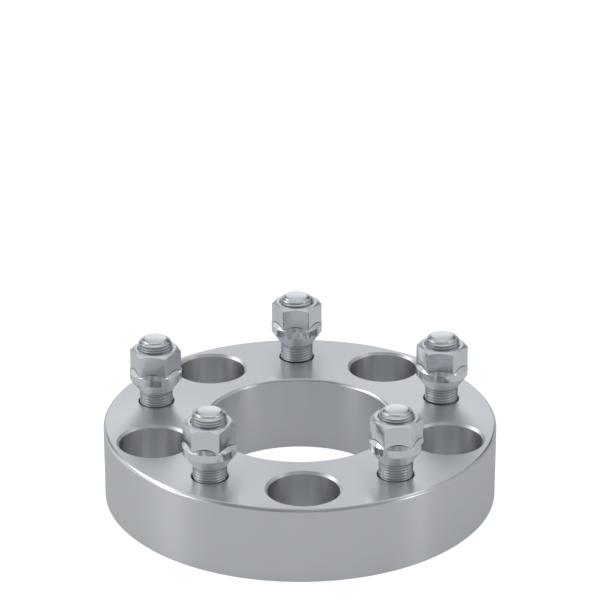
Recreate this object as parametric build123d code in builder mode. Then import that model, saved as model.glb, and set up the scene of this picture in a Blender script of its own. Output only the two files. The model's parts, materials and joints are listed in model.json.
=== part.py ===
"""Bolt-on wheel spacer, in millimetres.

A thick turned ring bolts to the hub through five pockets, and carries five wheel studs of its own,
pressed in from the hub side, with a lug nut run part of the way down each one. The hub face lies at
z = 0, the wheel face at z = THICKNESS, and the wheel axis is the Z axis.
"""
from build123d import *
from math import radians, sqrt, tan
import os

# Ring, turned from bar
OUTER_D = 164.0
THICKNESS = 32.5
BORE_D = 78.1
WHEEL_SIDE_ROUND = 1.2
HUB_SIDE_CHAMFER = 0.7
BORE_ROUND = 1.0
BORE_CHAMFER = 0.75

# Bolt circle that the studs share with the pockets half-way between them
PITCH_CIRCLE_D = 127.0
STUD_COUNT = 5
FIRST_STUD_ANGLE = 90.0

# Pockets for the nuts that hold the ring to the hub
POCKET_D = 29.0
POCKET_RIM_CHAMFER = 1.0
POCKET_FLOOR_THICKNESS = 13.0
HUB_HOLE_D = 15.5
HUB_HOLE_CHAMFER = 0.8
SEAT_MOUTH_D = 21.6
SEAT_ANGLE = 60.0

# Wheel studs, M14 x 1.25, drawn without their thread
THREAD_D = 14.0
STUD_STANDOUT = 29.2
TIP_DOME_D = 10.3
TIP_DOME_R = 40.0
TIP_CHAMFER_ANGLE = 38.0
HEAD_D = 22.0
HEAD_THICKNESS = 5.0
HEAD_CHAMFER = 0.8
HEAD_RECESS = 1.5
HEAD_CLEARANCE = 1.0

# Serrations that bite into the wall of the stud's hole and stop it turning
STUD_HOLE_D = 15.0
STUD_HOLE_EDGE_BREAK = 0.3
HEAD_BORE_CHAMFER = 0.5
SERRATION_COUNT = 30
SERRATION_BITE = 0.15
SERRATION_DEPTH = 0.55
SERRATION_LENGTH = 12.0

# Lug nuts, open at both ends, with a cone below the collar
HEX_SIDES = 6
HEX_ACROSS_FLATS = 19.0
HEX_EDGE_ROUND = 0.5
HEX_HEIGHT = 10.2
HEX_TOP_CIRCLE_D = 17.6
HEX_TOP_CHAMFER_ANGLE = 30.0
COLLAR_D = 22.0
COLLAR_HEIGHT = 3.15
SHOULDER_ANGLE = 52.0
CONE_ANGLE = 71.0
CONE_HEIGHT = 5.2
NUT_THREAD_CLEARANCE = 0.05
NUT_MOUTH_D = 15.4
NUT_MOUTH_DEPTH = 0.7

# How each nut was left: how far its cone stands off the wheel face, and how far it is turned
NUT_STANDOFFS = [7.6, 5.9, 5.7, 7.05, 6.55]
NUT_TURNS = [-3.6, -6.9, -9.3, 1.7, -6.7]

OUTER_R = OUTER_D / 2
BORE_R = BORE_D / 2
PITCH_R = PITCH_CIRCLE_D / 2
ANGLE_STEP = 360.0 / STUD_COUNT
FIRST_POCKET_ANGLE = FIRST_STUD_ANGLE + ANGLE_STEP / 2
THREAD_R = THREAD_D / 2
HEAD_R = HEAD_D / 2
STUD_HOLE_R = STUD_HOLE_D / 2
HEAD_SEAT_Z = HEAD_RECESS + HEAD_THICKNESS
STUD_TOP_Z = THICKNESS + STUD_STANDOUT
COLLAR_R = COLLAR_D / 2
COLLAR_TOP_Z = CONE_HEIGHT + COLLAR_HEIGHT
NUT_HEIGHT = COLLAR_TOP_Z + HEX_HEIGHT
NUT_BORE_R = THREAD_R + NUT_THREAD_CLEARANCE

# Cutters run this far past the face that they open
OVERRUN = 1.0


def cone_run(across, degrees_from_axis):
    """Height over which a cone's radius changes by across, for a wall at that angle to its axis."""
    return across / tan(radians(degrees_from_axis))


def turned(points):
    """Solid turned about Z from the half outline that runs through points, given as radius and height."""
    with BuildPart() as solid:
        with BuildSketch(Plane.XZ):
            with BuildLine():
                Polyline(*points, close=True)
            make_face()
        revolve(axis=Axis.Z)
    return solid.part


def turned_ring():
    """The ring before its holes, with both edges rounded on the wheel side and chamfered on the hub side."""
    with BuildPart() as ring:
        with BuildSketch(Plane.XZ) as section:
            with Locations(((OUTER_R + BORE_R) / 2, THICKNESS / 2)):
                Rectangle(OUTER_R - BORE_R, THICKNESS)
            inner, outer = section.vertices().group_by(Axis.X)
            chamfer(inner.sort_by(Axis.Y)[0], BORE_CHAMFER)
            fillet(inner.sort_by(Axis.Y)[-1], BORE_ROUND)
            chamfer(outer.sort_by(Axis.Y)[0], HUB_SIDE_CHAMFER)
            fillet(outer.sort_by(Axis.Y)[-1], WHEEL_SIDE_ROUND)
        revolve(axis=Axis.Z)
    return ring.part


def pocket_cutter():
    """What is milled away for one hub nut: rim chamfer, straight pocket, cone seat and hub hole."""
    pocket_r = POCKET_D / 2
    mouth_r = SEAT_MOUTH_D / 2
    hole_r = HUB_HOLE_D / 2
    seat_z = POCKET_FLOOR_THICKNESS - cone_run(mouth_r - hole_r, SEAT_ANGLE / 2)
    chamfer_z = THICKNESS - POCKET_RIM_CHAMFER
    return turned([
        (0, -OVERRUN),
        (hole_r + HUB_HOLE_CHAMFER + OVERRUN, -OVERRUN),
        (hole_r, HUB_HOLE_CHAMFER),
        (hole_r, seat_z),
        (mouth_r, POCKET_FLOOR_THICKNESS),
        (pocket_r, POCKET_FLOOR_THICKNESS),
        (pocket_r, chamfer_z),
        (pocket_r + POCKET_RIM_CHAMFER + OVERRUN, THICKNESS + OVERRUN),
        (0, THICKNESS + OVERRUN),
    ])


def stud_hole_cutter():
    """What is drilled away for one wheel stud: the bore that hides its head, and its own hole."""
    head_bore_r = HEAD_R + HEAD_CLEARANCE
    break_z = THICKNESS - STUD_HOLE_EDGE_BREAK
    return turned([
        (0, -OVERRUN),
        (head_bore_r + HEAD_BORE_CHAMFER + OVERRUN, -OVERRUN),
        (head_bore_r, HEAD_BORE_CHAMFER),
        (head_bore_r, HEAD_SEAT_Z),
        (STUD_HOLE_R, HEAD_SEAT_Z),
        (STUD_HOLE_R, break_z),
        (STUD_HOLE_R + STUD_HOLE_EDGE_BREAK + OVERRUN, THICKNESS + OVERRUN),
        (0, THICKNESS + OVERRUN),
    ])


def spacer_ring():
    """The finished ring: five stepped holes for the studs and five pockets between them."""
    with BuildPart() as ring:
        add(turned_ring())
        with PolarLocations(PITCH_R, STUD_COUNT, start_angle=FIRST_POCKET_ANGLE):
            add(pocket_cutter(), mode=Mode.SUBTRACT)
        with PolarLocations(PITCH_R, STUD_COUNT, start_angle=FIRST_STUD_ANGLE):
            add(stud_hole_cutter(), mode=Mode.SUBTRACT)
    return ring.part


def serration_outline(root_r, tip_r):
    """Corners of a ring of V teeth, tip and root by turns, one after the other round the shank."""
    half_tooth = 180.0 / SERRATION_COUNT
    corners = []
    for tooth in range(SERRATION_COUNT):
        angle = 2 * half_tooth * tooth
        corners.append(Vector(tip_r, 0).rotate(Axis.Z, angle))
        corners.append(Vector(root_r, 0).rotate(Axis.Z, angle + half_tooth))
    return corners


def wheel_stud():
    """One stud on the Z axis, at its height in the ring, with its straight serrations below the thread."""
    dome_edge_r = TIP_DOME_D / 2
    dome_edge_z = STUD_TOP_Z - TIP_DOME_R + sqrt(TIP_DOME_R**2 - dome_edge_r**2)
    thread_end_z = dome_edge_z - (THREAD_R - dome_edge_r) * tan(radians(TIP_CHAMFER_ANGLE))
    tooth_tip_r = STUD_HOLE_R + SERRATION_BITE
    tooth_root_r = tooth_tip_r - SERRATION_DEPTH
    with BuildPart() as stud:
        with BuildSketch(Plane.XZ):
            with BuildLine():
                Polyline(
                    (0, STUD_TOP_Z),
                    (0, HEAD_RECESS),
                    (HEAD_R - HEAD_CHAMFER, HEAD_RECESS),
                    (HEAD_R, HEAD_RECESS + HEAD_CHAMFER),
                    (HEAD_R, HEAD_SEAT_Z),
                    (THREAD_R, HEAD_SEAT_Z),
                    (THREAD_R, thread_end_z),
                    (dome_edge_r, dome_edge_z),
                )
                RadiusArc((dome_edge_r, dome_edge_z), (0, STUD_TOP_Z), -TIP_DOME_R)
            make_face()
        revolve(axis=Axis.Z)
        with BuildSketch(Plane.XY.offset(HEAD_SEAT_Z)):
            with BuildLine():
                Polyline(*serration_outline(tooth_root_r, tooth_tip_r), close=True)
            make_face()
        extrude(amount=SERRATION_LENGTH)
    return stud.part


def lug_nut():
    """One nut on the Z axis with its cone's small end at z = 0: cone, collar, shoulder and hexagon."""
    cone_r = COLLAR_R - CONE_HEIGHT * tan(radians(CONE_ANGLE / 2))
    hex_r = HEX_ACROSS_FLATS / 2
    shoulder_top_z = COLLAR_TOP_Z + (COLLAR_R - hex_r) * tan(radians(SHOULDER_ANGLE))
    top_circle_r = HEX_TOP_CIRCLE_D / 2
    chamfer_z = NUT_HEIGHT - (COLLAR_R - top_circle_r) * tan(radians(HEX_TOP_CHAMFER_ANGLE))
    mouth_r = NUT_MOUTH_D / 2
    with BuildPart() as nut:
        with BuildSketch(Plane.XY.offset(COLLAR_TOP_Z)) as hexagon:
            RegularPolygon(hex_r, HEX_SIDES, major_radius=False)
            fillet(hexagon.vertices(), HEX_EDGE_ROUND)
        extrude(amount=HEX_HEIGHT)
        add(turned([
            (0, 0),
            (COLLAR_R, 0),
            (COLLAR_R, chamfer_z),
            (top_circle_r, NUT_HEIGHT),
            (0, NUT_HEIGHT),
        ]), mode=Mode.INTERSECT)
        add(turned([
            (0, 0),
            (cone_r, 0),
            (COLLAR_R, CONE_HEIGHT),
            (COLLAR_R, COLLAR_TOP_Z),
            (hex_r, shoulder_top_z),
            (0, shoulder_top_z),
        ]))
        add(turned([
            (0, -OVERRUN),
            (NUT_BORE_R, -OVERRUN),
            (NUT_BORE_R, NUT_HEIGHT - NUT_MOUTH_DEPTH),
            (mouth_r, NUT_HEIGHT),
            (mouth_r, NUT_HEIGHT + OVERRUN),
            (0, NUT_HEIGHT + OVERRUN),
        ]), mode=Mode.SUBTRACT)
    return nut.part


def write_piece(piece, name):
    """Label one finished piece and write it to its own file."""
    piece.label = name
    export_step(piece, f"parts/{name}.step")


os.makedirs("parts", exist_ok=True)

write_piece(spacer_ring(), "spacer_body")

stud_shape = wheel_stud()
nut_shape = lug_nut()
stud_places = PolarLocations(PITCH_R, STUD_COUNT, start_angle=FIRST_STUD_ANGLE, rotate=False)

for number, place in enumerate(stud_places, start=1):
    with BuildPart() as stud:
        with Locations(place):
            add(stud_shape)
    write_piece(stud.part, f"wheel_stud_{number}")

    standoff = NUT_STANDOFFS[(number - 1) % len(NUT_STANDOFFS)]
    turn = NUT_TURNS[(number - 1) % len(NUT_TURNS)]
    with BuildPart() as nut:
        with Locations(place * Location((0, 0, THICKNESS + standoff), (0, 0, turn))):
            add(nut_shape)
    write_piece(nut.part, f"lug_nut_{number}")
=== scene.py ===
"""Bolt-on wheel spacer: a turned aluminium ring, five wheel studs pressed into it and a lug nut on each."""
import json
import math

import bmesh
import bpy
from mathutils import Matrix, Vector


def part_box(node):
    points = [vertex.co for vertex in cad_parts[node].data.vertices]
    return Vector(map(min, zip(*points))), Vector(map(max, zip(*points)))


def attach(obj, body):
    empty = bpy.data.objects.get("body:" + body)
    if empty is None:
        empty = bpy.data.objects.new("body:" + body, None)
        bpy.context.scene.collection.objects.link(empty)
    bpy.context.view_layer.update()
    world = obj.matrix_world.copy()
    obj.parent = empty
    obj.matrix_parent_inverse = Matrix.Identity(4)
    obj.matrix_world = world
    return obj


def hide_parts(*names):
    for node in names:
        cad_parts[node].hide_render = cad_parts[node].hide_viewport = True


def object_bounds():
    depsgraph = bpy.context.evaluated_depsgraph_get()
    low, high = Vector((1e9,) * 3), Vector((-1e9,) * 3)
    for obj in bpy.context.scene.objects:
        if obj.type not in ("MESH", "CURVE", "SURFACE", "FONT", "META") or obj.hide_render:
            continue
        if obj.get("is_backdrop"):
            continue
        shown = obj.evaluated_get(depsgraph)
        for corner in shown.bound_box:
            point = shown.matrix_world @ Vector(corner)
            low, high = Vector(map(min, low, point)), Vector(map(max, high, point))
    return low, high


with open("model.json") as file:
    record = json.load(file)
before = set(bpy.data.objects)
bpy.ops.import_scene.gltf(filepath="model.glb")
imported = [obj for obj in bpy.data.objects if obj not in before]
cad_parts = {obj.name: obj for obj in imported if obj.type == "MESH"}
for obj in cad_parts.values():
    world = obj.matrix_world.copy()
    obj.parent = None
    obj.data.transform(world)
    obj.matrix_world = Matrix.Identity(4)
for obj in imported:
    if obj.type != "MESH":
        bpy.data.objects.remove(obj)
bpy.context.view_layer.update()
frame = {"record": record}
bpy.ops.object.select_all(action="DESELECT")


# Studio. A white floor under a pale room, lit by four softboxes. The room is uneven, with dark parts high
# in front and both bright and dark ones low behind, so that polished pieces have something to mirror.

def linear(colour):
    """Linear RGBA of an sRGB hex colour."""
    channels = [int(colour[place:place + 2], 16) / 255 for place in (1, 3, 5)]
    return [c / 12.92 if c <= 0.04045 else ((c + 0.055) / 1.055) ** 2.4 for c in channels] + [1.0]


def fill(tree, node, inputs):
    """Give each input of a node a value, or another node's output to link to."""
    for socket, value in inputs.items():
        if isinstance(value, bpy.types.NodeSocket):
            tree.links.new(value, node.inputs[socket])
        else:
            node.inputs[socket].default_value = value


def add_node(tree, kind, inputs=None, **settings):
    """Add a node with its settings and inputs."""
    node = tree.nodes.new(kind)
    for name, value in settings.items():
        setattr(node, name, value)
    fill(tree, node, inputs or {})
    return node


def toward(azimuth, elevation):
    """Unit vector that points that many degrees round from +X and up from the floor."""
    flat = math.cos(math.radians(elevation))
    return Vector((
        flat * math.cos(math.radians(azimuth)),
        flat * math.sin(math.radians(azimuth)),
        math.sin(math.radians(elevation)),
    ))


ring_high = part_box("spacer_body")[1]
wheel_face_middle = Vector((0, 0, ring_high.z))

CAMERA_DISTANCE = 1.209
CAMERA_AZIMUTH = 268.72
CAMERA_ELEVATION = 25.76
CAMERA_LENS = 173.4
CAMERA_REACH = 20.0
AIM_HEIGHT = 0.0867
camera_place = wheel_face_middle + CAMERA_DISTANCE * toward(CAMERA_AZIMUTH, CAMERA_ELEVATION)
camera_line = Vector((0, 0, AIM_HEIGHT)) - camera_place
bpy.ops.object.camera_add(location=camera_place, rotation=camera_line.to_track_quat("-Z", "Y").to_euler())
camera = bpy.context.object
camera.data.lens = CAMERA_LENS
camera.data.clip_end = CAMERA_REACH
bpy.context.scene.camera = camera
bpy.context.scene.view_settings.view_transform = "Standard"

# The room is grey with soft upright stripes, drawn from the span in which the noise mostly lies. Its lighter
# and darker parts are given as (azimuth, elevation, core, reach, change of grey).
ROOM_GREY = 0.53
ROOM_UNEVEN = 0.14
ROOM_STRIPES = 6.0
ROOM_STRETCH = (1.0, 1.0, 0.1)
NOISE_LOW = 0.3
NOISE_HIGH = 0.7
ROOM_PATCHES = [
    (270, 50, 12, 22, -0.28),
    (221, 54, 4, 20, -0.28),
    (319, 54, 4, 20, -0.28),
    (90, 18, 9, 15, 0.5),
    (58, 25, 9, 22, -0.42),
    (122, 25, 9, 22, -0.42),
    (90, 74, 14, 26, 0.25),
    (165, 10, 25, 45, 0.2),
    (45, 5, 20, 40, -0.08),
    (113, 9, 4, 12, 0.45),
    (66, 8, 4, 12, 0.3),
]
DAYLIGHT = "#F9FCFF"
BACKDROP = "#FFFFFF"
world = bpy.data.worlds.new("white_studio")
bpy.context.scene.world = world
world.use_nodes = True
tree = world.node_tree
tree.nodes.clear()
direction = add_node(tree, "ShaderNodeTexCoord")
level_way = add_node(tree, "ShaderNodeVectorMath", {
    0: direction.outputs["Generated"], 1: ROOM_STRETCH,
}, operation="MULTIPLY")
unevenness = add_node(tree, "ShaderNodeTexNoise", {"Vector": level_way.outputs[0], "Scale": ROOM_STRIPES})
stripes = add_node(tree, "ShaderNodeMapRange", {
    "Value": unevenness.outputs[0], "From Min": NOISE_LOW, "From Max": NOISE_HIGH,
    "To Min": ROOM_GREY - ROOM_UNEVEN, "To Max": ROOM_GREY + ROOM_UNEVEN,
})
room = stripes.outputs[0]
for azimuth, elevation, core, reach, change in ROOM_PATCHES:
    nearness = add_node(tree, "ShaderNodeVectorMath", {
        0: direction.outputs["Generated"], 1: toward(azimuth, elevation),
    }, operation="DOT_PRODUCT")
    patch = add_node(tree, "ShaderNodeMapRange", {
        "Value": nearness.outputs["Value"], "From Min": math.cos(math.radians(reach)),
        "From Max": math.cos(math.radians(core)), "To Min": 0.0, "To Max": change,
    }, interpolation_type="SMOOTHSTEP")
    total = add_node(tree, "ShaderNodeMath", {0: room, 1: patch.outputs[0]})
    room = total.outputs[0]
around = add_node(tree, "ShaderNodeBackground", {"Color": linear(DAYLIGHT), "Strength": room})
behind = add_node(tree, "ShaderNodeBackground", {"Color": linear(BACKDROP)})
ray = add_node(tree, "ShaderNodeLightPath")
seen = add_node(tree, "ShaderNodeMixShader", {
    0: ray.outputs["Is Camera Ray"], 1: around.outputs[0], 2: behind.outputs[0],
})
add_node(tree, "ShaderNodeOutputWorld", {"Surface": seen.outputs[0]})

# White paper. It glows strongly in the camera's eye and a little in mirrors, so that it shows white with no
# more light on the object. The matt grey under the glow takes light and shadow.
FLOOR_SIZE = 12.0
FLOOR_GLOW = 0.25
CAMERA_GLOW = 0.68
FLOOR_PAINT = "#B8B8B8"
bpy.ops.mesh.primitive_plane_add(size=FLOOR_SIZE)
floor = bpy.context.object
floor.name = "floor"
paper = bpy.data.materials.new("white_paper")
paper.use_nodes = True
tree = paper.node_tree
tree.nodes.clear()
ray = add_node(tree, "ShaderNodeLightPath")
mirrored = add_node(tree, "ShaderNodeMath", {
    0: ray.outputs["Is Camera Ray"], 1: ray.outputs["Is Glossy Ray"],
}, operation="MAXIMUM")
direct = add_node(tree, "ShaderNodeMath", {
    0: mirrored.outputs[0], 1: ray.outputs["Is Transmission Ray"],
}, operation="MAXIMUM")
strength = add_node(tree, "ShaderNodeMath", {0: direct.outputs[0], 1: FLOOR_GLOW}, operation="MULTIPLY")
whiter = add_node(tree, "ShaderNodeMath", {
    0: ray.outputs["Is Camera Ray"], 1: CAMERA_GLOW, 2: strength.outputs[0],
}, operation="MULTIPLY_ADD")
glow = add_node(tree, "ShaderNodeEmission", {"Color": linear(DAYLIGHT), "Strength": whiter.outputs[0]})
paint = add_node(tree, "ShaderNodeBsdfDiffuse", {"Color": linear(FLOOR_PAINT)})
paper_sheen = add_node(tree, "ShaderNodeAddShader", {0: glow.outputs[0], 1: paint.outputs[0]})
add_node(tree, "ShaderNodeOutputMaterial", {"Surface": paper_sheen.outputs[0]})
paper.cycles.emission_sampling = "NONE"
floor.data.materials.append(paper)
floor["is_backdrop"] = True

# Softboxes, as (azimuth, elevation, width, height, brightness)
SOFTBOX_DISTANCE = 0.9
SOFTBOXES = [
    (195, 19, 0.30, 0.52, 1.4),
    (336, 20, 0.12, 0.56, 1.8),
    (163, 39, 0.42, 0.22, 1.8),
    (354, 49, 0.14, 0.14, 1.2),
]
for azimuth, elevation, width, tall, brightness in SOFTBOXES:
    line = toward(azimuth, elevation)
    bpy.ops.object.light_add(
        type="AREA", location=wheel_face_middle + SOFTBOX_DISTANCE * line,
        rotation=(-line).to_track_quat("-Z", "Y").to_euler(),
    )
    lamp = bpy.context.object.data
    lamp.shape = "RECTANGLE"
    lamp.size = width
    lamp.size_y = tall
    lamp.energy = brightness * math.pi * width * tall


# Spacer ring. One piece of aluminium bar, faced and turned all over, with a wide bore that clears the
# hub. Five pockets take the hub nuts, and five stepped holes between them take the wheel studs.

MM = 0.001
RING_STEPS = 288
HOLE_STEPS = 96
OVERRUN = 1.0
FINE_EDGE = 0.12
FINE_EDGE_SEGMENTS = 2
LEVEL_NORMAL = 0.9
SHARP_ANGLE = math.radians(25)
mounts = {mount["name"]: mount for mount in frame["record"]["mounts"]}
outer_r = ring_high.x / MM
thickness = ring_high.z / MM
bore_r = mounts["centre_bore"]["dims"]["r_mm"]
pitch_r = mounts["wheel_studs"]["dims"]["pcd_mm"] / 2
stud_count = mounts["wheel_studs"]["dims"]["count"]
middle_r = (outer_r + bore_r) / 2 * MM
middle_z = thickness / 2 * MM
stud_middles = []
for number in range(1, stud_count + 1):
    low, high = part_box(f"wheel_stud_{number}")
    stud_middles.append(Vector(((low.x + high.x) / 2, (low.y + high.y) / 2, 0)))
half_step = math.pi / stud_count
pocket_middles = []
for middle in stud_middles:
    angle = math.atan2(middle.y, middle.x) + half_step
    pocket_middles.append(Vector((math.cos(angle), math.sin(angle), 0)) * pitch_r * MM)


def edit_mode(on):
    """Enter or leave edit mode on the active object."""
    bpy.ops.object.mode_set(mode="EDIT" if on else "OBJECT")


def pick(kind, test):
    """In edit mode, select just the faces or edges that pass the test."""
    bpy.ops.mesh.select_mode(type=kind)
    bpy.ops.mesh.select_all(action="DESELECT")
    mesh = bmesh.from_edit_mesh(bpy.context.edit_object.data)
    for element in (mesh.faces if kind == "FACE" else mesh.edges):
        element.select_set(test(element))
    bmesh.update_edit_mesh(bpy.context.edit_object.data)


def on_corner(edge, outside, on_top):
    """Whether an edge runs round the ring's outside or its bore, at its top or its bottom."""
    start, end = (vertex.co for vertex in edge.verts)
    return (
        abs(start.z - end.z) < FINE_EDGE * MM
        and abs(start.xy.length - end.xy.length) < FINE_EDGE * MM
        and abs(abs(start.z - middle_z) - middle_z) < FINE_EDGE * MM
        and (start.xy.length > middle_r) == outside
        and (start.z > middle_z) == on_top
    )


def turned(name, corners, steps):
    """Closed solid turned about Z: a disc at the first (radius, height), drawn up through the others."""
    radius, level = corners[0]
    bpy.ops.mesh.primitive_circle_add(
        vertices=steps, radius=radius * MM, fill_type="NGON", location=(0, 0, level * MM),
    )
    bpy.context.object.name = name
    bpy.ops.object.transform_apply()
    edit_mode(True)
    for next_radius, next_level in corners[1:]:
        bpy.ops.mesh.extrude_region_move(
            TRANSFORM_OT_translate={"value": (0, 0, (next_level - level) * MM)})
        scale = next_radius / radius
        bpy.ops.transform.resize(value=(scale, scale, 1), center_override=(0, 0, next_level * MM))
        radius, level = next_radius, next_level
    bpy.ops.mesh.select_all(action="SELECT")
    bpy.ops.mesh.normals_make_consistent(inside=False)
    edit_mode(False)
    return bpy.context.object


def make_active(piece):
    """Select one piece and nothing else."""
    bpy.ops.object.select_all(action="DESELECT")
    piece.select_set(True)
    bpy.context.view_layer.objects.active = piece


def finish_with(piece, kind, **settings):
    """Add a modifier to a piece and apply it."""
    make_active(piece)
    modifier = piece.modifiers.new(kind.lower(), kind)
    for name, value in settings.items():
        setattr(modifier, name, value)
    bpy.ops.object.modifier_apply(modifier=modifier.name)


def combine(piece, other, operation):
    """Cut, join or trim a piece with another solid, which is used up."""
    finish_with(piece, "BOOLEAN", operation=operation, object=other, solver="EXACT")
    bpy.data.objects.remove(other)


def copy_at(piece, name, place, turn=0.0):
    """Copy of a piece with its own mesh, turned about Z and moved, with its object left at the origin."""
    make_active(piece)
    bpy.ops.object.duplicate()
    twin = bpy.context.object
    twin.name = name
    twin.rotation_euler.z = turn
    twin.location = place
    bpy.ops.object.transform_apply()
    return twin


def smooth(piece):
    """Shade the round faces smooth and keep the flat ones flat."""
    make_active(piece)
    bpy.ops.object.shade_smooth_by_angle(angle=SHARP_ANGLE)
    finish_with(piece, "WEIGHTED_NORMAL", keep_sharp=True)


def coat(piece, material):
    """Give a piece one material, in place of any that its cutters left on it."""
    piece.data.materials.clear()
    piece.data.materials.append(material)


WHEEL_SIDE_ROUND = 1.2
HUB_SIDE_CHAMFER = 0.7
BORE_ROUND = 1.0
BORE_CHAMFER = 0.75
ROUND_SEGMENTS = 6
FLATTER_PROFILE = 0.3
POCKET_R = 14.5
POCKET_RIM_CHAMFER = 1.0
POCKET_FLOOR = 13.0
HUB_HOLE_CHAMFER = 0.8
SEAT_MOUTH_R = 10.8
SEAT_ANGLE = 60.0
HEAD_BORE_R = 12.0
HEAD_BORE_DEPTH = 6.5
HEAD_BORE_CHAMFER = 0.5
STUD_HOLE_R = 7.5
STUD_HOLE_EDGE_BREAK = 0.3

bpy.ops.mesh.primitive_cylinder_add(
    vertices=RING_STEPS, radius=outer_r * MM, depth=thickness * MM, location=(0, 0, middle_z),
)
ring = bpy.context.object
ring.name = "ring"
bpy.ops.object.transform_apply()
edit_mode(True)
pick("FACE", lambda face: abs(face.normal.z) > LEVEL_NORMAL)
bpy.ops.mesh.inset(thickness=(outer_r - bore_r) * MM)
bpy.ops.mesh.bridge_edge_loops()
for outside, on_top, size, segments in (
    (True, True, WHEEL_SIDE_ROUND, ROUND_SEGMENTS),
    (True, False, HUB_SIDE_CHAMFER, 1),
    (False, True, BORE_ROUND, ROUND_SEGMENTS),
    (False, False, BORE_CHAMFER, 1),
):
    pick("EDGE", lambda edge: on_corner(edge, outside, on_top))
    bpy.ops.mesh.bevel(offset=size * MM, segments=segments, profile=FLATTER_PROFILE, affect="EDGES")
edit_mode(False)

hub_hole_r = mounts["hub_bolts"]["dims"]["hole_r_mm"]
seat_bottom = POCKET_FLOOR - (SEAT_MOUTH_R - hub_hole_r) / math.tan(math.radians(SEAT_ANGLE / 2))
pocket_tool = turned("pocket_tool", [
    (hub_hole_r + HUB_HOLE_CHAMFER + OVERRUN, -OVERRUN),
    (hub_hole_r, HUB_HOLE_CHAMFER),
    (hub_hole_r, seat_bottom),
    (SEAT_MOUTH_R, POCKET_FLOOR),
    (POCKET_R, POCKET_FLOOR),
    (POCKET_R, thickness - POCKET_RIM_CHAMFER),
    (POCKET_R + POCKET_RIM_CHAMFER + OVERRUN, thickness + OVERRUN),
], HOLE_STEPS)
stud_hole_tool = turned("stud_hole_tool", [
    (HEAD_BORE_R + HEAD_BORE_CHAMFER + OVERRUN, -OVERRUN),
    (HEAD_BORE_R, HEAD_BORE_CHAMFER),
    (HEAD_BORE_R, HEAD_BORE_DEPTH),
    (STUD_HOLE_R, HEAD_BORE_DEPTH),
    (STUD_HOLE_R, thickness - STUD_HOLE_EDGE_BREAK),
    (STUD_HOLE_R + STUD_HOLE_EDGE_BREAK + OVERRUN, thickness + OVERRUN),
], HOLE_STEPS)
tools = [copy_at(pocket_tool, "tool", place) for place in pocket_middles]
tools += [copy_at(stud_hole_tool, "tool", place) for place in stud_middles]
bpy.data.objects.remove(stud_hole_tool)
bpy.data.objects.remove(pocket_tool)
make_active(tools[0])
for tool in tools:
    tool.select_set(True)
bpy.ops.object.join()
combine(ring, bpy.context.object, "DIFFERENCE")
finish_with(
    ring, "BEVEL", width=FINE_EDGE * MM, segments=FINE_EDGE_SEGMENTS, limit_method="ANGLE",
    angle_limit=SHARP_ANGLE,
)
smooth(ring)

# Turned aluminium. The tool's lines round each face, wall and hole are too fine to show by themselves, but
# a reflection stays sharp along them and is drawn out across them. The ring's own edges are smoother than
# its faces, and the rims of its holes are duller. EDGE_STARTS and EDGE_FULL say how far from both level and
# upright a surface has to slope to have an edge's finish.
ALUMINIUM = "#E4E5E7"
DRAWN_OUT = 0.92
FACE_DULLNESS = 0.3
EDGE_DULLNESS = 0.23
RIM_DULLNESS = 0.34
EDGE_STARTS = 0.02
EDGE_FULL = 0.2
AXIS = (0, 0, 1)
aluminium = bpy.data.materials.new("turned_aluminium")
aluminium.use_nodes = True
tree = aluminium.node_tree
place = add_node(tree, "ShaderNodeTexCoord")
shape = add_node(tree, "ShaderNodeNewGeometry")
round_walls = add_node(tree, "ShaderNodeVectorMath", {
    0: AXIS, 1: shape.outputs["Normal"],
}, operation="CROSS_PRODUCT")
round_faces = add_node(tree, "ShaderNodeVectorMath", {
    0: AXIS, 1: place.outputs["Object"],
}, operation="CROSS_PRODUCT")
tool_path = add_node(tree, "ShaderNodeVectorMath", {
    0: round_walls.outputs[0], 1: round_faces.outputs[0],
}, operation="ADD")
across_path = add_node(tree, "ShaderNodeVectorMath", {
    0: shape.outputs["Normal"], 1: tool_path.outputs[0],
}, operation="CROSS_PRODUCT")
facing = add_node(tree, "ShaderNodeSeparateXYZ", {0: shape.outputs["Normal"]})
up = add_node(tree, "ShaderNodeMath", {0: facing.outputs["Z"]}, operation="ABSOLUTE")
sideways = add_node(tree, "ShaderNodeMath", {0: 1.0, 1: up.outputs[0]}, operation="SUBTRACT")
on_edge = add_node(tree, "ShaderNodeMath", {0: up.outputs[0], 1: sideways.outputs[0]}, operation="MULTIPLY")
drawn_out = add_node(tree, "ShaderNodeMapRange", {
    "Value": on_edge.outputs[0], "From Min": EDGE_STARTS, "From Max": EDGE_FULL,
    "To Min": DRAWN_OUT, "To Max": 0.0,
})
from_axis = add_node(tree, "ShaderNodeVectorMath", {0: round_faces.outputs[0]}, operation="LENGTH")
on_rim = add_node(tree, "ShaderNodeMath", {
    0: from_axis.outputs["Value"], 1: middle_r, 2: ((outer_r - bore_r) / 2 - 2 * WHEEL_SIDE_ROUND) * MM,
}, operation="COMPARE")
edge_dullness = add_node(tree, "ShaderNodeMapRange", {
    "Value": on_rim.outputs[0], "To Min": EDGE_DULLNESS, "To Max": RIM_DULLNESS,
})
dullness = add_node(tree, "ShaderNodeMapRange", {
    "Value": on_edge.outputs[0], "From Min": EDGE_STARTS, "From Max": EDGE_FULL,
    "To Min": FACE_DULLNESS, "To Max": edge_dullness.outputs[0],
})
fill(tree, tree.nodes["Principled BSDF"], {
    "Base Color": linear(ALUMINIUM), "Metallic": 1.0, "Roughness": dullness.outputs[0],
    "Anisotropic": drawn_out.outputs[0], "Tangent": across_path.outputs[0],
})
coat(ring, aluminium)
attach(ring, "spacer")
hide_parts("spacer_body")


# Wheel studs. Cold-headed steel with a rolled M14 x 1.25 thread and, under it, serrations that bite into
# the ring. The round head is drawn up against the hub side, out of sight. Zinc plated.

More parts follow.
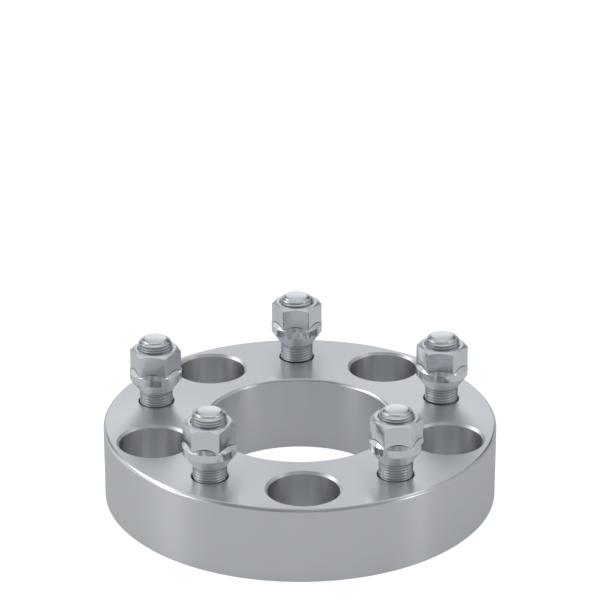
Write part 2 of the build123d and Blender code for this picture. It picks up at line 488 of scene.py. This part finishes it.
PITCH = 1.25
ROOT_FLAT = 0.21
CREST_FLAT = 0.16
THREAD_ROOT_R = 6.23
THREAD_STEPS = 60
MERGE_DISTANCE = 0.01
CUT_THRESHOLD = 1e-7
TIP_CHAMFER_ANGLE = 38.0
TIP_DOME_EDGE_R = 5.15
TIP_DOME_R = 40.0
TIP_BLEND = 0.5
TIP_RINGS = 24
TIP_TOLERANCE = 0.03
RUN_OUT_DEPTH = 0.35
RUN_OUT_START_R = 5.3
RUN_OUT_FULL_R = 6.0
HEAD_R = 11.0
HEAD_CHAMFER = 0.8
HEAD_RECESS = 1.5
SERRATION_COUNT = 30
SERRATION_TIP_R = 7.65
SERRATION_DEPTH = 0.55
SERRATION_LENGTH = 12.0
thread_r = mounts["wheel_studs"]["dims"]["stud_r_mm"]
stud_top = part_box("wheel_stud_1")[1].z / MM
shank_top = HEAD_BORE_DEPTH + SERRATION_LENGTH
tip_slope = math.tan(math.radians(TIP_CHAMFER_ANGLE))
dome_middle = stud_top - TIP_DOME_R
dome_edge_z = dome_middle + math.sqrt(TIP_DOME_R**2 - TIP_DOME_EDGE_R**2)


def thread_rod(name, root_r, crest_r, low, high):
    """Closed rod with a right-hand thread between two heights."""
    first = low - PITCH - (low % PITCH)
    turns = math.ceil((high - first) / PITCH) + 1
    flank = (PITCH - ROOT_FLAT - CREST_FLAT) / 2
    bpy.ops.mesh.primitive_plane_add(size=MM)
    rod = bpy.context.object
    rod.name = name
    edit_mode(True)
    bpy.ops.mesh.select_mode(type="VERT")
    bpy.ops.mesh.select_all(action="SELECT")
    bpy.ops.mesh.merge(type="CENTER")
    bpy.ops.transform.translate(value=(root_r * MM, 0, first * MM))
    for across, up in (
        (0, ROOT_FLAT), (crest_r - root_r, flank), (0, CREST_FLAT), (root_r - crest_r, flank),
    ):
        bpy.ops.mesh.extrude_vertices_move(
            TRANSFORM_OT_translate={"value": (across * MM, 0, up * MM)})
    edit_mode(False)
    finish_with(
        rod, "SCREW", axis="Z", screw_offset=PITCH * MM, iterations=turns, steps=THREAD_STEPS,
        render_steps=THREAD_STEPS, use_merge_vertices=False,
    )
    edit_mode(True)
    bpy.ops.mesh.select_all(action="SELECT")
    bpy.ops.mesh.remove_doubles(threshold=MERGE_DISTANCE * MM)
    for level, above in ((low, False), (high, True)):
        bpy.ops.mesh.select_all(action="SELECT")
        bpy.ops.mesh.bisect(
            plane_co=(0, 0, level * MM), plane_no=(0, 0, 1), use_fill=True,
            clear_inner=not above, clear_outer=above, threshold=CUT_THRESHOLD,
        )
    bpy.ops.mesh.select_all(action="SELECT")
    bpy.ops.mesh.normals_make_consistent(inside=False)
    edit_mode(False)
    return rod


def tip_height(radius):
    """Height of the tip at that radius, where the dome blends into the chamfer."""
    dome = dome_middle + math.sqrt(TIP_DOME_R**2 - radius**2)
    chamfer = dome_edge_z - (radius - TIP_DOME_EDGE_R) * tip_slope
    near = max(0.0, 1 - abs(dome - chamfer) / TIP_BLEND)
    return min(dome, chamfer) - near**2 * TIP_BLEND / 4


def upright(edge):
    """Whether an edge runs up and down."""
    return abs(edge.verts[0].co.z - edge.verts[1].co.z) > MM


# The threaded rod is trimmed to a cone at its foot, inside the shank, and to the tip's form at its top
stud = thread_rod("stud", THREAD_ROOT_R, thread_r, shank_top - PITCH, stud_top + PITCH)
trim = [
    (thread_r - PITCH, shank_top - PITCH / 2),
    (thread_r + OVERRUN, shank_top + OVERRUN + PITCH / 2),
    (thread_r + OVERRUN, tip_height(thread_r + OVERRUN)),
]
for step in range(TIP_RINGS):
    radius = thread_r * (1 - step / TIP_RINGS)
    trim.append((radius, tip_height(radius)))
combine(stud, turned("trim", trim, HOLE_STEPS), "INTERSECT")

# Over the chamfer the thread runs out in grooves that grow shallow towards the dome
crest_level = (PITCH + ROOT_FLAT) / 2
for vertex in stud.data.vertices:
    radius = vertex.co.xy.length / MM
    height = vertex.co.z / MM
    if radius > RUN_OUT_START_R and abs(height - tip_height(radius)) < TIP_TOLERANCE:
        turns = (height - crest_level) / PITCH - math.atan2(vertex.co.y, vertex.co.x) / (2 * math.pi)
        sunk = (1 - math.cos(2 * math.pi * turns)) / 2
        share = min(1.0, (radius - RUN_OUT_START_R) / (RUN_OUT_FULL_R - RUN_OUT_START_R))
        vertex.co.xy *= 1 - sunk * share * RUN_OUT_DEPTH / radius

bpy.ops.mesh.primitive_cylinder_add(
    vertices=2 * SERRATION_COUNT, radius=SERRATION_TIP_R * MM, depth=(SERRATION_LENGTH + OVERRUN) * MM,
    location=(0, 0, (HEAD_BORE_DEPTH - OVERRUN + shank_top) / 2 * MM),
)
serrations = bpy.context.object
bpy.ops.object.transform_apply()
edit_mode(True)
half_tooth = math.pi / SERRATION_COUNT
pick("EDGE", lambda edge: (
    upright(edge) and round(math.atan2(edge.verts[0].co.y, edge.verts[0].co.x) / half_tooth) % 2 == 1
))
root_scale = 1 - SERRATION_DEPTH / SERRATION_TIP_R
bpy.ops.transform.resize(value=(root_scale, root_scale, 1), center_override=(0, 0, 0))
edit_mode(False)
combine(stud, serrations, "UNION")
combine(stud, turned("head", [
    (HEAD_R - HEAD_CHAMFER, HEAD_RECESS),
    (HEAD_R, HEAD_RECESS + HEAD_CHAMFER),
    (HEAD_R, HEAD_BORE_DEPTH),
], HOLE_STEPS), "UNION")
smooth(stud)

# How deep each point lies in the thread, from 0 on the crest to 1 in the root
depth = stud.data.attributes.new("thread_depth", "FLOAT", "POINT")
for vertex, point in zip(stud.data.vertices, depth.data):
    below_dome = dome_edge_z - vertex.co.z / MM
    outline_r = min(thread_r, TIP_DOME_EDGE_R + below_dome / tip_slope)
    sunk = (outline_r - vertex.co.xy.length / MM) / (thread_r - THREAD_ROOT_R)
    point.value = max(0.0, min(1.0, sunk)) if below_dome > FINE_EDGE else 0.0

# Bright zinc plate. It is silvery on the crests and duller down in the thread, where painted shade darkens
# it. Painted shade also darkens the stud just under the wheel face, where it goes into its hole.
ZINC = "#E6E9EB"
ZINC_SHADED_ROOT = "#BFC3C6"
HOLE_PAINTED_SHADE = "#6E7274"
HOLE_SHADE = 0.25
CREST_DULLNESS = 0.26
ROOT_DULLNESS = 0.36
# The colour sockets of a Mix node, by number because other sockets of it share their names
MIX_A = 6
MIX_B = 7
MIX_RESULT = 2
zinc = bpy.data.materials.new("zinc_plated_steel")
zinc.use_nodes = True
tree = zinc.node_tree
sunk = add_node(tree, "ShaderNodeAttribute", attribute_name="thread_depth")
# Painted shade darkens the colour down in the thread, by how deep it lies
shaded_tone = add_node(tree, "ShaderNodeMix", {
    "Factor": sunk.outputs["Fac"], MIX_A: linear(ZINC), MIX_B: linear(ZINC_SHADED_ROOT),
}, data_type="RGBA")
place = add_node(tree, "ShaderNodeTexCoord")
level = add_node(tree, "ShaderNodeSeparateXYZ", {0: place.outputs["Object"]})
# Painted shade in the gap just under the wheel face, where the stud goes into its hole, but not on the head
in_hole = add_node(tree, "ShaderNodeMapRange", {
    "Value": level.outputs["Z"], "From Min": (thickness - HOLE_SHADE) * MM, "From Max": thickness * MM,
    "To Min": 1.0, "To Max": 0.0,
})
past_head = add_node(tree, "ShaderNodeMath", {
    0: level.outputs["Z"], 1: HEAD_BORE_DEPTH * MM,
}, operation="GREATER_THAN")
gap_shade = add_node(tree, "ShaderNodeMath", {
    0: in_hole.outputs[0], 1: past_head.outputs[0],
}, operation="MULTIPLY")
gap_shaded_tone = add_node(tree, "ShaderNodeMix", {
    "Factor": gap_shade.outputs[0], MIX_A: shaded_tone.outputs[MIX_RESULT], MIX_B: linear(HOLE_PAINTED_SHADE),
}, data_type="RGBA")
dullness = add_node(tree, "ShaderNodeMapRange", {
    "Value": sunk.outputs["Fac"], "To Min": CREST_DULLNESS, "To Max": ROOT_DULLNESS,
})
fill(tree, tree.nodes["Principled BSDF"], {
    "Base Color": gap_shaded_tone.outputs[MIX_RESULT], "Metallic": 1.0, "Roughness": dullness.outputs[0],
})
coat(stud, zinc)

# Each nut's turn in degrees. With the height of the nut's foot, it gives the turn at which the stud's thread
# meets the nut's.
NUT_TURNS = [-3.6, -6.9, -9.3, 1.7, -6.7]
nut_turns = [math.radians(turn) for turn in NUT_TURNS]
nut_feet = [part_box(f"lug_nut_{number}")[0].z for number in range(1, stud_count + 1)]
for number, (place, turn, foot) in enumerate(zip(stud_middles, nut_turns, nut_feet), start=1):
    stud_k = copy_at(stud, f"stud_{number}", place, turn - 2 * math.pi * foot / (PITCH * MM))
    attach(stud_k, "spacer")
    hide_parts(f"wheel_stud_{number}")
bpy.data.objects.remove(stud)


# Lug nuts. Cold-formed steel, open at the top, with a 19 mm hexagon that runs down into a round collar
# and a cone that seats in the wheel. Bright plated.

HEX_SIDES = 6
HEX_FLATS = 19.0
HEX_EDGE_ROUND = 0.5
HEX_EDGE_SEGMENTS = 4
HEX_HEIGHT = 10.2
HEX_TOP_R = 8.8
HEX_TOP_ANGLE = 30.0
HEX_FOOT_ROUND = 0.3
HEX_FOOT_SEGMENTS = 3
COLLAR_R = 11.0
COLLAR_HEIGHT = 3.15
SHOULDER_ANGLE = 52.0
CONE_ANGLE = 71.0
CONE_HEIGHT = 5.2
NUT_EDGE = 0.12
NUT_EDGE_SEGMENTS = 2
NUT_EDGE_ANGLE = math.radians(20)
MOUTH_R = 7.7
LOWER_MOUTH_R = 7.15
THREAD_CLEARANCE = 0.08
hex_r = HEX_FLATS / 2
half_side = math.pi / HEX_SIDES
collar_top = CONE_HEIGHT + COLLAR_HEIGHT
nut_height = collar_top + HEX_HEIGHT
shoulder_slope = math.tan(math.radians(SHOULDER_ANGLE))

bpy.ops.mesh.primitive_cylinder_add(
    vertices=HEX_SIDES, radius=hex_r / math.cos(half_side) * MM, depth=(HEX_HEIGHT + 2 * OVERRUN) * MM,
    location=(0, 0, (collar_top + HEX_HEIGHT / 2) * MM), rotation=(0, 0, half_side),
)
nut = bpy.context.object
nut.name = "nut"
bpy.ops.object.transform_apply()
edit_mode(True)
pick("EDGE", upright)
bpy.ops.mesh.bevel(offset=HEX_EDGE_ROUND * MM, segments=HEX_EDGE_SEGMENTS, affect="EDGES")
edit_mode(False)
reach = COLLAR_R + OVERRUN
combine(nut, turned("crown", [
    (reach, 0),
    (reach, nut_height - (reach - HEX_TOP_R) * math.tan(math.radians(HEX_TOP_ANGLE))),
    (HEX_TOP_R, nut_height),
], HOLE_STEPS), "INTERSECT")
combine(nut, turned("seat", [
    (COLLAR_R - CONE_HEIGHT * math.tan(math.radians(CONE_ANGLE / 2)), 0),
    (COLLAR_R, CONE_HEIGHT),
    (COLLAR_R, collar_top),
    (hex_r - OVERRUN, collar_top + (COLLAR_R - hex_r + OVERRUN) * shoulder_slope),
], HOLE_STEPS), "UNION")
combine(nut, turned("mouth", [
    (THREAD_ROOT_R, nut_height - MOUTH_R + THREAD_ROOT_R),
    (MOUTH_R + OVERRUN, nut_height + OVERRUN),
], HOLE_STEPS), "DIFFERENCE")
combine(nut, turned("lower_mouth", [
    (LOWER_MOUTH_R + OVERRUN, -OVERRUN),
    (THREAD_ROOT_R, LOWER_MOUTH_R - THREAD_ROOT_R),
], HOLE_STEPS), "DIFFERENCE")
combine(nut, thread_rod(
    "tap", THREAD_ROOT_R + 2 * THREAD_CLEARANCE, thread_r + THREAD_CLEARANCE, -OVERRUN, nut_height + OVERRUN,
), "DIFFERENCE")


def round_edges(convex, size, segments):
    """Round the nut's outer edges or its inner ones, all but those of its mouths and thread."""
    pick("EDGE", lambda edge: (
        edge.is_convex == convex
        and min(vertex.co.xy.length for vertex in edge.verts) > (MOUTH_R + NUT_EDGE) * MM
        and edge.calc_face_angle(0) > NUT_EDGE_ANGLE
    ))
    bpy.ops.mesh.bevel(offset=size * MM, segments=segments, affect="EDGES", clamp_overlap=True)


make_active(nut)
edit_mode(True)
round_edges(False, HEX_FOOT_ROUND, HEX_FOOT_SEGMENTS)

# Painted shade for the crease at the foot of the flats, from 1 in the middle of each, where it is highest,
# to 0 at the corners
shoulder_rise = (COLLAR_R - hex_r) * shoulder_slope
mesh = bmesh.from_edit_mesh(nut.data)
crease_shade = mesh.verts.layers.float.new("crease_shade")
for vertex in mesh.verts:
    rise = max(0.0, (vertex.co.z / MM - collar_top) / shoulder_rise)
    vertex[crease_shade] = rise if all(face.select for face in vertex.link_faces) else 0.0
bmesh.update_edit_mesh(nut.data)

round_edges(True, NUT_EDGE, NUT_EDGE_SEGMENTS)
edit_mode(False)
smooth(nut)

# Bright plating over the cold-formed skin. It keeps the faint waves and cloudy patches of the forming, and
# is duller on the turned cone and top. Painted shade darkens the crease at the foot of the flats. The cone's
# and the top's STARTS and FULL say how far down or up a surface has to face to have their finish.
PLATING = "#EBEEF2"
CREASE_SHADE = "#26282A"
WAVE_WIDTH = 2.5
WAVE_DEPTH = 0.015
WAVE_DETAIL = 3.0
WAVE_ROUGHNESS = 0.6
CLOUD_LOW = 0.35
CLOUD_HIGH = 0.65
BRIGHT_DULLNESS = 0.12
CLOUDY_DULLNESS = 0.22
CONE_DULLNESS = 0.38
CONE_STARTS = -0.3
CONE_FULL = -0.5
TOP_DULLNESS = 0.38
TOP_STARTS = 0.72
TOP_FULL = 0.85
plating = bpy.data.materials.new("bright_plating")
plating.use_nodes = True
tree = plating.node_tree
place = add_node(tree, "ShaderNodeTexCoord")
waves = add_node(tree, "ShaderNodeTexNoise", {
    "Vector": place.outputs["Object"], "Scale": 1 / (WAVE_WIDTH * MM), "Detail": WAVE_DETAIL,
    "Roughness": WAVE_ROUGHNESS,
})
dents = add_node(tree, "ShaderNodeBump", {"Height": waves.outputs[0], "Distance": WAVE_DEPTH * MM})
cloud = add_node(tree, "ShaderNodeMapRange", {
    "Value": waves.outputs[0], "From Min": CLOUD_LOW, "From Max": CLOUD_HIGH,
    "To Min": BRIGHT_DULLNESS, "To Max": CLOUDY_DULLNESS,
})
shape = add_node(tree, "ShaderNodeNewGeometry")
facing = add_node(tree, "ShaderNodeSeparateXYZ", {0: shape.outputs["Normal"]})
seat_dullness = add_node(tree, "ShaderNodeMapRange", {
    "Value": facing.outputs["Z"], "From Min": CONE_STARTS, "From Max": CONE_FULL,
    "To Min": cloud.outputs[0], "To Max": CONE_DULLNESS,
})
dullness = add_node(tree, "ShaderNodeMapRange", {
    "Value": facing.outputs["Z"], "From Min": TOP_STARTS, "From Max": TOP_FULL,
    "To Min": seat_dullness.outputs[0], "To Max": TOP_DULLNESS,
})
in_crease_shade = add_node(tree, "ShaderNodeAttribute", attribute_name="crease_shade")
# Painted shade in the crease at the foot of the flats
shaded_tone = add_node(tree, "ShaderNodeMix", {
    "Factor": in_crease_shade.outputs["Fac"], MIX_A: linear(PLATING), MIX_B: linear(CREASE_SHADE),
}, data_type="RGBA")
fill(tree, tree.nodes["Principled BSDF"], {
    "Base Color": shaded_tone.outputs[MIX_RESULT], "Metallic": 1.0, "Roughness": dullness.outputs[0],
    "Normal": dents.outputs[0],
})
coat(nut, plating)

for number, (place, turn, foot) in enumerate(zip(stud_middles, nut_turns, nut_feet), start=1):
    nut_k = copy_at(nut, f"nut_{number}", place + Vector((0, 0, foot)), turn)
    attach(nut_k, f"nut_{number}")
    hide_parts(f"lug_nut_{number}")
bpy.data.objects.remove(nut)

# The box of the model
low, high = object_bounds()
